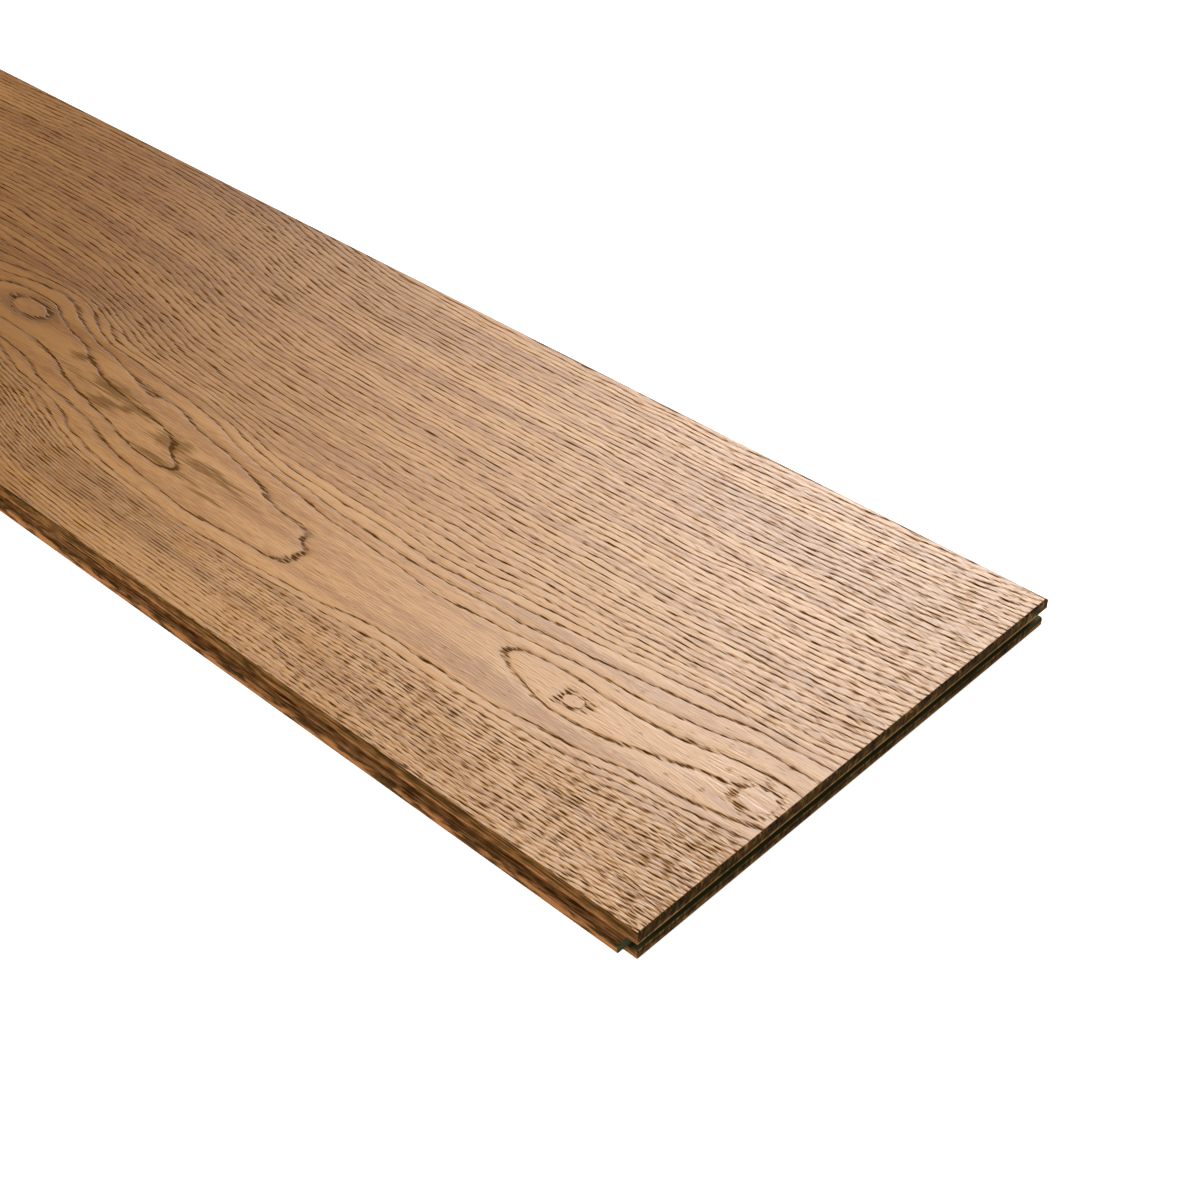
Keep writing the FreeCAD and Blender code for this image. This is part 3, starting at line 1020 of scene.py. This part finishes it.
@dataclass
class Floorboard:
    """The board, dressed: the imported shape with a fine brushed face.

    Attributes:
        node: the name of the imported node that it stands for.
        top: the height of the face.
        grooved_end: where the face ends at the grooved short end.
        tongued_end: where the face ends at the tongued short end.
        near_edge: where the face ends over the long tongue.
        far_edge: where the face ends over the long groove.
        bevel_depth: how far the bevels fall below the face.
        bevel_width: how far the bevels reach out from the face.
        cells_along: face cells along the board, as two factors.
        cells_across: face cells across the board, as two factors.
        relief_depth: how deep brushing cut the early wood.
        end_depth: how far the end groove reaches in, so that its walls count as the end.
        same_place: how near two places count as one.
        same_height: how near two heights count as one.
        flat_angle: faces that meet at less than this many degrees are one face.
        smooth_angle: faces that meet at less than this many degrees are shaded smooth.
        crowding: how far the face cells keep even, and how far they crowd to the grooved end.
        grain: the growth rings.
    """

    node: str = "floorboard"
    top: float = 14.0 * MM
    grooved_end: float = FACE_END
    tongued_end: float = -1096.9 * MM
    near_edge: float = FACE_EDGE
    far_edge: float = 126.65 * MM
    bevel_depth: float = 0.5 * MM
    bevel_width: float = 0.8 * MM
    cells_along: tuple[int, int] = (17, 20)
    cells_across: tuple[int, int] = (12, 23)
    relief_depth: float = 0.1 * MM
    end_depth: float = 6.0 * MM
    same_place: float = 0.001 * MM
    same_height: float = 0.01 * MM
    flat_angle: float = 0.5
    smooth_angle: float = 24.0
    crowding: tuple[float, float] = (0.45, 0.55)
    grain: GrainMap = field(default_factory=GrainMap)

    def build(self) -> Piece:
        """Builds and dresses the board.

        Returns:
            The finished piece.
        """
        board = self._copy_of_node()
        self._lay_face_grid(board)
        self._crowd_cells(board)
        self._map_grain(board)
        self._press_relief(board)
        self._dress(board)
        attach(board, "root")
        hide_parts(self.node)
        return board

    def _copy_of_node(self) -> Piece:
        """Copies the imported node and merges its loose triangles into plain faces.

        Returns:
            The copy, which becomes the piece.
        """
        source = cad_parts[self.node]
        board = bpy.data.objects.new("brushed_floorboard", source.data.copy())
        bpy.context.scene.collection.objects.link(board)
        pick(board)
        bpy.ops.object.mode_set(mode="EDIT")
        bpy.ops.mesh.select_all(action="SELECT")
        bpy.ops.mesh.remove_doubles(threshold=self.same_place)
        bpy.ops.mesh.dissolve_limited(angle_limit=math.radians(self.flat_angle))
        bpy.ops.mesh.select_all(action="DESELECT")
        bpy.ops.object.mode_set(mode="OBJECT")
        return board

    def _pick_edges(self, board: Piece, height: float, along: bool) -> None:
        """Selects the level edges at one height that run along or across the board.

        Args:
            board: the piece, in edit mode before and after.
            height: the height.
            along: True for the edges along the board, False for those across it.
        """
        bpy.ops.mesh.select_mode(type="EDGE")
        bpy.ops.mesh.select_all(action="DESELECT")
        bpy.ops.object.mode_set(mode="OBJECT")
        mesh = board.data
        low, high = height - self.same_height, height + self.same_height
        for edge in mesh.edges:
            first, second = (mesh.vertices[i].co for i in edge.vertices)
            still = abs(first.y - second.y) if along else abs(first.x - second.x)
            level = low < min(first.z, second.z) and max(first.z, second.z) < high
            edge.select = level and still < self.same_place
        bpy.ops.object.mode_set(mode="EDIT")

    def _open_top(self, board: Piece) -> None:
        """Takes off the plain face and bevels, and cuts the rim that they leave into short edges.

        Args:
            board: the piece.
        """
        rim = self.top - self.bevel_depth
        for polygon in board.data.polygons:
            polygon.select = polygon.normal.z > 0.5 and polygon.center.z > rim
        bpy.ops.object.mode_set(mode="EDIT")
        bpy.ops.mesh.select_mode(type="FACE")
        bpy.ops.mesh.delete(type="FACE")
        for along, cells in ((True, self.cells_along), (False, self.cells_across)):
            for share in cells:
                self._pick_edges(board, rim, along)
                bpy.ops.mesh.subdivide(number_cuts=share - 1)
        bpy.ops.mesh.select_all(action="DESELECT")
        bpy.ops.object.mode_set(mode="OBJECT")

    def _face_grid(self) -> Piece:
        """Makes the face as a fine grid, and draws its rim out and down into the bevels.

        Returns:
            The grid, at its place.
        """
        along = math.prod(self.cells_along)
        across = math.prod(self.cells_across)
        length = self.grooved_end - self.tongued_end
        width = self.far_edge - self.near_edge
        middle = Vector((0.5 * (self.grooved_end + self.tongued_end),
                         0.5 * (self.far_edge + self.near_edge), self.top))
        bpy.ops.object.select_all(action="DESELECT")
        bpy.ops.mesh.primitive_grid_add(
            x_subdivisions=along, y_subdivisions=across, size=1.0, location=middle
        )
        grid = bpy.context.active_object
        bpy.ops.transform.resize(value=(length, width, 1.0))
        bpy.ops.object.transform_apply(location=True, rotation=True, scale=True)
        bpy.ops.object.mode_set(mode="EDIT")
        bpy.ops.mesh.select_all(action="SELECT")
        bpy.ops.mesh.region_to_loop()
        bpy.ops.mesh.extrude_edges_move()
        bpy.ops.transform.resize(
            value=((length + 2.0 * self.bevel_width) / length, (width + 2.0 * self.bevel_width) / width, 1.0),
            center_override=middle,
        )
        bpy.ops.transform.translate(value=(0.0, 0.0, -self.bevel_depth))
        bpy.ops.mesh.select_all(action="DESELECT")
        bpy.ops.object.mode_set(mode="OBJECT")
        return grid

    def _lay_face_grid(self, board: Piece) -> None:
        """Puts the fine face and its bevels on the board and merges them with its rim.

        Args:
            board: the piece.
        """
        self._open_top(board)
        grid = self._face_grid()
        pick(grid, board)
        bpy.ops.object.join()
        bpy.ops.object.mode_set(mode="EDIT")
        bpy.ops.mesh.select_all(action="SELECT")
        bpy.ops.mesh.remove_doubles(threshold=self.same_height)
        bpy.ops.mesh.normals_make_consistent(inside=False)
        bpy.ops.mesh.select_all(action="DESELECT")
        bpy.ops.object.mode_set(mode="OBJECT")

    def _places(self, board: Piece) -> np.ndarray:
        """Reads every vertex's place as rows of x, y and z.

        Args:
            board: the piece.

        Returns:
            The places, in metres.
        """
        places = np.empty(len(board.data.vertices) * 3)
        board.data.vertices.foreach_get("co", places)
        return places.reshape(-1, 3)

    def _crowd_cells(self, board: Piece) -> None:
        """Moves the grid's stations along the board closer together towards the figured end.

        Args:
            board: the piece.
        """
        places = self._places(board)
        raised = places[:, 2] > self.top - self.bevel_depth - 0.1 * MM
        length = self.grooved_end - self.tongued_end
        share = np.clip((self.grooved_end - places[:, 0]) / length, 0.0, 1.0)
        inner = raised & (share > 0.0005) & (share < 0.9995)
        even, crowd = self.crowding
        crowded = even * share + crowd * share ** 4
        places[inner, 0] = self.grooved_end - length * crowded[inner]
        board.data.vertices.foreach_set("co", places.ravel())
        board.data.update()

    def _grain_places(self, board: Piece) -> tuple[np.ndarray, np.ndarray]:
        """Gives every vertex's distance from the grooved end and the near edge, in mm.

        Args:
            board: the piece.

        Returns:
            The distances from the end, and those from the edge.
        """
        places = self._places(board)
        back = (self.grooved_end - places[:, 0]) / MM
        across = (places[:, 1] - self.near_edge) / MM
        return back, across

    def _map_grain(self, board: Piece) -> None:
        """Writes the fibre lines and ring numbers as UV maps, and the other readings as values.

        Args:
            board: the piece.
        """
        mesh = board.data
        while mesh.uv_layers:
            mesh.uv_layers.remove(mesh.uv_layers[0])
        back, across = self._grain_places(board)
        corner = np.empty(len(mesh.loops), dtype=np.int32)
        mesh.loops.foreach_get("vertex_index", corner)
        rings = self.grain.ring_number(back, across)
        fibres = self.grain.fibre_line(back, across) * MM
        for name, second in (("fibre", fibres), ("grain", rings)):
            layer = mesh.uv_layers.new(name=name)
            pairs = np.stack([-back * MM, second], axis=1)[corner]
            layer.data.foreach_set("uv", pairs.ravel())
        values = {
            "smoke": self.grain.smoke(back, across),
            # The share of painted shade where less light falls along the board
            "drift": self.grain.drift(back, across),
            "ring_width": self.grain.ring_width(back, across),
        }
        for name, value in values.items():
            attribute = mesh.attributes.new(name, "FLOAT", "POINT")
            attribute.data.foreach_set("value", value)

    def _press_relief(self, board: Piece) -> None:
        """Presses the early wood bands into the face where the grid is fine enough for them.

        Args:
            board: the piece.
        """
        back, across = self._grain_places(board)
        places = self._places(board)
        rings = self.grain.ring_number(back, across)
        width = self.grain.ring_width(back, across)
        band_middle, band_reach, edge_margin = 0.5, 0.9, 4.0
        off = (np.mod(rings + 0.5, 1.0) - 0.5) * width - band_middle
        groove = np.exp(-(off / band_reach) ** 2)
        fine_enough = np.clip((width - 2.0) / 2.5, 0.1, 1.0)
        board_width = (self.far_edge - self.near_edge) / MM
        inward = np.clip(np.minimum(across, board_width - across) / edge_margin, 0.0, 1.0)
        on_face = places[:, 2] > self.top - 0.05 * MM
        weights = np.where(on_face, groove * fine_enough * inward, 0.0)
        group = board.vertex_groups.new(name="brushed")
        for index in np.nonzero(weights > 0.01)[0]:
            group.add([int(index)], float(weights[index]), "REPLACE")
        press = board.modifiers.new("press_relief", "DISPLACE")
        press.direction = "Z"
        press.mid_level = 0.0
        press.strength = -self.relief_depth
        press.vertex_group = group.name
        bpy.ops.object.modifier_apply(modifier=press.name)
        board.vertex_groups.clear()

    def _surface_of(self, polygon: bpy.types.MeshPolygon) -> Surface:
        """Tells which of the board's surfaces a face belongs to, by its place and normal.

        Args:
            polygon: the face.

        Returns:
            Its surface.
        """
        centre = polygon.center
        if centre.z > self.top - 0.45 * MM and polygon.normal.z > 0.9:
            return Surface.FACE
        if centre.z < self.same_height:
            return Surface.BACK
        at_end = centre.x > self.grooved_end - self.end_depth or centre.x < self.tongued_end
        if at_end and (abs(polygon.normal.x) > 0.3 or abs(polygon.normal.y) < 0.3):
            return Surface.SHORT_END
        return Surface.LONG_EDGE

    def _dress(self, board: Piece) -> None:
        """Gives each face the material of its surface and smooths the brushed face.

        Args:
            board: the piece.
        """
        board.data.materials.clear()
        for finish in (BrushedFace(), MilledEdge(), SawnEnd(), PlanedBack()):
            board.data.materials.append(finish.material())
        for polygon in board.data.polygons:
            polygon.material_index = self._surface_of(polygon).value
        pick(board)
        bpy.ops.object.shade_smooth_by_angle(angle=math.radians(self.smooth_angle))


@dataclass(frozen=True)
class Softbox:
    """One square lamp.

    Attributes:
        name: the lamp's name.
        place: where it hangs.
        aim: the point that it faces.
        size: its side.
        power: its power in watts.
        shines: whether the oiled face mirrors it.
    """

    name: str
    place: Triple
    aim: Triple
    size: float
    power: float
    shines: bool = True

    def hang(self) -> None:
        """Hangs the lamp, out of the camera's sight."""
        lamp = bpy.data.lights.new(self.name, "AREA")
        lamp.shape = "SQUARE"
        lamp.size = self.size
        lamp.energy = self.power
        holder = bpy.data.objects.new(self.name, lamp)
        holder.location = self.place
        holder.visible_camera = False
        holder.visible_glossy = self.shines
        holder.rotation_euler = (Vector(self.aim) - Vector(self.place)).to_track_quat("-Z", "Y").to_euler()
        bpy.context.scene.collection.objects.link(holder)


@dataclass(frozen=True)
class Studio:
    """The pale studio: a wide floor, soft lamps, a white surround and the camera.

    Attributes:
        camera_place: where the camera stands.
        camera_turn: the camera's rotation in degrees.
        lens: the focal length in mm.
        sensor: the sensor's width in mm.
        floor_size: the floor's side.
        floor_gap: how far the floor lies under the board, so that the two don't flicker.
        floor_glow: how much light the floor adds for the camera alone, so that it looks white.
        surround_light: how bright the surround is as a light.
    """

    camera_place: Triple = (1.40304, -0.46073, 0.52421)
    camera_turn: Triple = (51.154, 0.0, 43.267)
    lens: float = 59.49
    sensor: float = 36.0
    floor_size: float = 14.0
    floor_gap: float = 0.2 * MM
    floor_glow: float = 0.92
    surround_light: float = 0.11
    # Two softboxes behind the board give it its sheen, and one stands by each edge that shows.
    # The front one would glare on the face when the board is seen from behind, so it isn't mirrored.
    softboxes: tuple[Softbox, ...] = (
        Softbox("back_softbox", (0.25, 1.7, 1.3), aim=(0.85, 0.0, 0.0), size=1.1, power=46.0),
        Softbox("back_wide_softbox", (-0.35, 1.7, 1.3), aim=(0.8, 0.0, 0.0), size=1.4, power=16.0),
        Softbox("front_softbox", (0.25, -2.3, 0.75), aim=(0.5, -0.1, 0.0), size=1.0, power=64.0,
                shines=False),
        Softbox("end_softbox", (3.0, -0.2, 0.7), aim=(1.1, 0.0, 0.0), size=1.0, power=9.0),
    )

    def build(self) -> None:
        """Builds the studio."""
        self._floor()
        self._surround()
        for softbox in self.softboxes:
            softbox.hang()
        self._camera()

    def _floor(self) -> None:
        """Lays the floor under the board."""
        bpy.ops.object.select_all(action="DESELECT")
        bpy.ops.mesh.primitive_plane_add(size=self.floor_size, location=(0.0, 0.0, -self.floor_gap))
        floor = bpy.context.active_object
        floor.name = "studio_floor"
        bpy.ops.object.transform_apply(location=True, rotation=True, scale=True)
        material, tree = fresh_tree("matt_white_paper_floor")
        add = partial(add_node, tree)
        seen = add("LightPath", output="Is Camera Ray")
        matt = add("BsdfDiffuse", {"Color": linear("#F2F2F2"), "Roughness": 0.0})
        lift = add("Math", (seen, self.floor_glow), operation="MULTIPLY")
        glow = add("Emission", {"Color": WHITE, "Strength": lift})
        both = add("AddShader", (matt, glow))
        add("OutputMaterial", {"Surface": both})
        floor.data.materials.append(material)

    def _surround(self) -> None:
        """Surrounds the scene with soft light, and white where the camera looks past the floor."""
        world = bpy.data.worlds.new("studio_surround")
        bpy.context.scene.world = world
        world.use_nodes = True
        tree = world.node_tree
        tree.nodes.clear()
        add = partial(add_node, tree)
        seen = add("LightPath", output="Is Camera Ray")
        level = add("MapRange", {"Value": seen, "To Min": self.surround_light, "To Max": 1.0})
        back = add("Background", {"Color": WHITE, "Strength": level})
        add("OutputWorld", {"Surface": back})

    def _camera(self) -> None:
        """Stands the camera where the photograph was taken from."""
        lens = bpy.data.cameras.new("view_camera")
        lens.lens = self.lens
        lens.sensor_width = self.sensor
        lens.clip_start = 0.01
        lens.clip_end = 50.0
        camera = bpy.data.objects.new("view_camera", lens)
        camera.location = self.camera_place
        camera.rotation_euler = tuple(math.radians(angle) for angle in self.camera_turn)
        bpy.context.scene.collection.objects.link(camera)
        bpy.context.scene.camera = camera


def main() -> None:
    """Builds the studio and the board, and reports the piece."""
    logging.basicConfig(level=logging.INFO, format="%(name)s: %(message)s")
    bpy.context.scene.view_settings.view_transform = "Standard"
    Studio().build()
    board = Floorboard().build()
    board.data.calc_loop_triangles()
    LOG.info("%s: %d triangles", board.name, len(board.data.loop_triangles))


if __name__ == "__main__":
    main()
